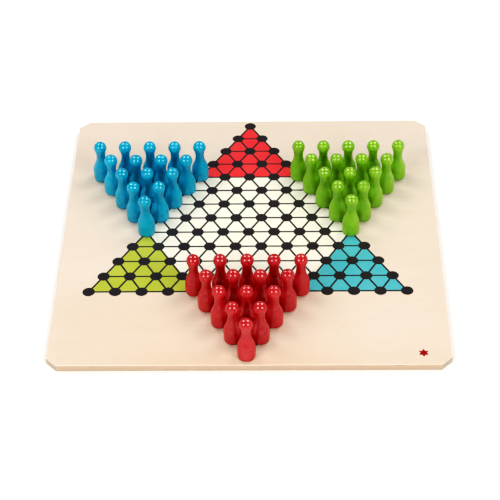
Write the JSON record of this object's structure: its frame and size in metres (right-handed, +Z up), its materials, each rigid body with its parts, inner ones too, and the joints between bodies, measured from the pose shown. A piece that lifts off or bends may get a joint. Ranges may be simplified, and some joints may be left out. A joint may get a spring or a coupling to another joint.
{
  "type": "chinese checkers board",
  "caption": "Square wooden board printed with a six-pointed star of dots, with three sets of loose skittle-shaped pawns standing on three of its points.",
  "frame": {"origin": "middle of the board's underside", "axes": "+Z up, +Y towards the far edge with the open red point, +X to the right as a player at the red pawns sees it"},
  "size_m": [0.2936, 0.2936, 0.0424],
  "materials": {
    "board_wood": "pale fine-grained panel with a thin satin varnish",
    "black_ink": "screen-printed ink, satin",
    "red_ink": "screen-printed ink, satin",
    "lime_ink": "screen-printed ink, satin",
    "turquoise_ink": "screen-printed ink, satin",
    "blue_paint": "turned wood, glossy paint",
    "green_paint": "turned wood, glossy paint",
    "red_paint": "turned wood, glossy paint"
  },
  "bodies": {
    "board": {"board": "board_wood", "black_net_print": "black_ink", "red_fields_print": "red_ink", "lime_fields_print": "lime_ink", "turquoise_fields_print": "turquoise_ink", "corner_mark_print": "red_ink"},
    "blue_pawn_01": {"blue_pawn_01": "blue_paint"},
    "blue_pawn_02": {"blue_pawn_02": "blue_paint"},
    "blue_pawn_03": {"blue_pawn_03": "blue_paint"},
    "blue_pawn_04": {"blue_pawn_04": "blue_paint"},
    "blue_pawn_05": {"blue_pawn_05": "blue_paint"},
    "blue_pawn_06": {"blue_pawn_06": "blue_paint"},
    "blue_pawn_07": {"blue_pawn_07": "blue_paint"},
    "blue_pawn_08": {"blue_pawn_08": "blue_paint"},
    "blue_pawn_09": {"blue_pawn_09": "blue_paint"},
    "blue_pawn_10": {"blue_pawn_10": "blue_paint"},
    "blue_pawn_11": {"blue_pawn_11": "blue_paint"},
    "blue_pawn_12": {"blue_pawn_12": "blue_paint"},
    "blue_pawn_13": {"blue_pawn_13": "blue_paint"},
    "blue_pawn_14": {"blue_pawn_14": "blue_paint"},
    "blue_pawn_15": {"blue_pawn_15": "blue_paint"},
    "green_pawn_01": {"green_pawn_01": "green_paint"},
    "green_pawn_02": {"green_pawn_02": "green_paint"},
    "green_pawn_03": {"green_pawn_03": "green_paint"},
    "green_pawn_04": {"green_pawn_04": "green_paint"},
    "green_pawn_05": {"green_pawn_05": "green_paint"},
    "green_pawn_06": {"green_pawn_06": "green_paint"},
    "green_pawn_07": {"green_pawn_07": "green_paint"},
    "green_pawn_08": {"green_pawn_08": "green_paint"},
    "green_pawn_09": {"green_pawn_09": "green_paint"},
    "green_pawn_10": {"green_pawn_10": "green_paint"},
    "green_pawn_11": {"green_pawn_11": "green_paint"},
    "green_pawn_12": {"green_pawn_12": "green_paint"},
    "green_pawn_13": {"green_pawn_13": "green_paint"},
    "green_pawn_14": {"green_pawn_14": "green_paint"},
    "green_pawn_15": {"green_pawn_15": "green_paint"},
    "red_pawn_01": {"red_pawn_01": "red_paint"},
    "red_pawn_02": {"red_pawn_02": "red_paint"},
    "red_pawn_03": {"red_pawn_03": "red_paint"},
    "red_pawn_04": {"red_pawn_04": "red_paint"},
    "red_pawn_05": {"red_pawn_05": "red_paint"},
    "red_pawn_06": {"red_pawn_06": "red_paint"},
    "red_pawn_07": {"red_pawn_07": "red_paint"},
    "red_pawn_08": {"red_pawn_08": "red_paint"},
    "red_pawn_09": {"red_pawn_09": "red_paint"},
    "red_pawn_10": {"red_pawn_10": "red_paint"},
    "red_pawn_11": {"red_pawn_11": "red_paint"},
    "red_pawn_12": {"red_pawn_12": "red_paint"},
    "red_pawn_13": {"red_pawn_13": "red_paint"},
    "red_pawn_14": {"red_pawn_14": "red_paint"},
    "red_pawn_15": {"red_pawn_15": "red_paint"}
  },
  "joints": [
    {"name": "blue_pawn_01_lift", "type": "slide", "parent": "board", "child": "blue_pawn_01", "axis": [0, 0, 1], "range_m": [0, 0.045]},
    {"name": "blue_pawn_02_lift", "type": "slide", "parent": "board", "child": "blue_pawn_02", "axis": [0, 0, 1], "range_m": [0, 0.045]},
    {"name": "blue_pawn_03_lift", "type": "slide", "parent": "board", "child": "blue_pawn_03", "axis": [0, 0, 1], "range_m": [0, 0.045]},
    {"name": "blue_pawn_04_lift", "type": "slide", "parent": "board", "child": "blue_pawn_04", "axis": [0, 0, 1], "range_m": [0, 0.045]},
    {"name": "blue_pawn_05_lift", "type": "slide", "parent": "board", "child": "blue_pawn_05", "axis": [0, 0, 1], "range_m": [0, 0.045]},
    {"name": "blue_pawn_06_lift", "type": "slide", "parent": "board", "child": "blue_pawn_06", "axis": [0, 0, 1], "range_m": [0, 0.045]},
    {"name": "blue_pawn_07_lift", "type": "slide", "parent": "board", "child": "blue_pawn_07", "axis": [0, 0, 1], "range_m": [0, 0.045]},
    {"name": "blue_pawn_08_lift", "type": "slide", "parent": "board", "child": "blue_pawn_08", "axis": [0, 0, 1], "range_m": [0, 0.045]},
    {"name": "blue_pawn_09_lift", "type": "slide", "parent": "board", "child": "blue_pawn_09", "axis": [0, 0, 1], "range_m": [0, 0.045]},
    {"name": "blue_pawn_10_lift", "type": "slide", "parent": "board", "child": "blue_pawn_10", "axis": [0, 0, 1], "range_m": [0, 0.045]},
    {"name": "blue_pawn_11_lift", "type": "slide", "parent": "board", "child": "blue_pawn_11", "axis": [0, 0, 1], "range_m": [0, 0.045]},
    {"name": "blue_pawn_12_lift", "type": "slide", "parent": "board", "child": "blue_pawn_12", "axis": [0, 0, 1], "range_m": [0, 0.045]},
    {"name": "blue_pawn_13_lift", "type": "slide", "parent": "board", "child": "blue_pawn_13", "axis": [0, 0, 1], "range_m": [0, 0.045]},
    {"name": "blue_pawn_14_lift", "type": "slide", "parent": "board", "child": "blue_pawn_14", "axis": [0, 0, 1], "range_m": [0, 0.045]},
    {"name": "blue_pawn_15_lift", "type": "slide", "parent": "board", "child": "blue_pawn_15", "axis": [0, 0, 1], "range_m": [0, 0.045]},
    {"name": "green_pawn_01_lift", "type": "slide", "parent": "board", "child": "green_pawn_01", "axis": [0, 0, 1], "range_m": [0, 0.045]},
    {"name": "green_pawn_02_lift", "type": "slide", "parent": "board", "child": "green_pawn_02", "axis": [0, 0, 1], "range_m": [0, 0.045]},
    {"name": "green_pawn_03_lift", "type": "slide", "parent": "board", "child": "green_pawn_03", "axis": [0, 0, 1], "range_m": [0, 0.045]},
    {"name": "green_pawn_04_lift", "type": "slide", "parent": "board", "child": "green_pawn_04", "axis": [0, 0, 1], "range_m": [0, 0.045]},
    {"name": "green_pawn_05_lift", "type": "slide", "parent": "board", "child": "green_pawn_05", "axis": [0, 0, 1], "range_m": [0, 0.045]},
    {"name": "green_pawn_06_lift", "type": "slide", "parent": "board", "child": "green_pawn_06", "axis": [0, 0, 1], "range_m": [0, 0.045]},
    {"name": "green_pawn_07_lift", "type": "slide", "parent": "board", "child": "green_pawn_07", "axis": [0, 0, 1], "range_m": [0, 0.045]},
    {"name": "green_pawn_08_lift", "type": "slide", "parent": "board", "child": "green_pawn_08", "axis": [0, 0, 1], "range_m": [0, 0.045]},
    {"name": "green_pawn_09_lift", "type": "slide", "parent": "board", "child": "green_pawn_09", "axis": [0, 0, 1], "range_m": [0, 0.045]},
    {"name": "green_pawn_10_lift", "type": "slide", "parent": "board", "child": "green_pawn_10", "axis": [0, 0, 1], "range_m": [0, 0.045]},
    {"name": "green_pawn_11_lift", "type": "slide", "parent": "board", "child": "green_pawn_11", "axis": [0, 0, 1], "range_m": [0, 0.045]},
    {"name": "green_pawn_12_lift", "type": "slide", "parent": "board", "child": "green_pawn_12", "axis": [0, 0, 1], "range_m": [0, 0.045]},
    {"name": "green_pawn_13_lift", "type": "slide", "parent": "board", "child": "green_pawn_13", "axis": [0, 0, 1], "range_m": [0, 0.045]},
    {"name": "green_pawn_14_lift", "type": "slide", "parent": "board", "child": "green_pawn_14", "axis": [0, 0, 1], "range_m": [0, 0.045]},
    {"name": "green_pawn_15_lift", "type": "slide", "parent": "board", "child": "green_pawn_15", "axis": [0, 0, 1], "range_m": [0, 0.045]},
    {"name": "red_pawn_01_lift", "type": "slide", "parent": "board", "child": "red_pawn_01", "axis": [0, 0, 1], "range_m": [0, 0.045]},
    {"name": "red_pawn_02_lift", "type": "slide", "parent": "board", "child": "red_pawn_02", "axis": [0, 0, 1], "range_m": [0, 0.045]},
    {"name": "red_pawn_03_lift", "type": "slide", "parent": "board", "child": "red_pawn_03", "axis": [0, 0, 1], "range_m": [0, 0.045]},
    {"name": "red_pawn_04_lift", "type": "slide", "parent": "board", "child": "red_pawn_04", "axis": [0, 0, 1], "range_m": [0, 0.045]},
    {"name": "red_pawn_05_lift", "type": "slide", "parent": "board", "child": "red_pawn_05", "axis": [0, 0, 1], "range_m": [0, 0.045]},
    {"name": "red_pawn_06_lift", "type": "slide", "parent": "board", "child": "red_pawn_06", "axis": [0, 0, 1], "range_m": [0, 0.045]},
    {"name": "red_pawn_07_lift", "type": "slide", "parent": "board", "child": "red_pawn_07", "axis": [0, 0, 1], "range_m": [0, 0.045]},
    {"name": "red_pawn_08_lift", "type": "slide", "parent": "board", "child": "red_pawn_08", "axis": [0, 0, 1], "range_m": [0, 0.045]},
    {"name": "red_pawn_09_lift", "type": "slide", "parent": "board", "child": "red_pawn_09", "axis": [0, 0, 1], "range_m": [0, 0.045]},
    {"name": "red_pawn_10_lift", "type": "slide", "parent": "board", "child": "red_pawn_10", "axis": [0, 0, 1], "range_m": [0, 0.045]},
    {"name": "red_pawn_11_lift", "type": "slide", "parent": "board", "child": "red_pawn_11", "axis": [0, 0, 1], "range_m": [0, 0.045]},
    {"name": "red_pawn_12_lift", "type": "slide", "parent": "board", "child": "red_pawn_12", "axis": [0, 0, 1], "range_m": [0, 0.045]},
    {"name": "red_pawn_13_lift", "type": "slide", "parent": "board", "child": "red_pawn_13", "axis": [0, 0, 1], "range_m": [0, 0.045]},
    {"name": "red_pawn_14_lift", "type": "slide", "parent": "board", "child": "red_pawn_14", "axis": [0, 0, 1], "range_m": [0, 0.045]},
    {"name": "red_pawn_15_lift", "type": "slide", "parent": "board", "child": "red_pawn_15", "axis": [0, 0, 1], "range_m": [0, 0.045]}
  ]
}
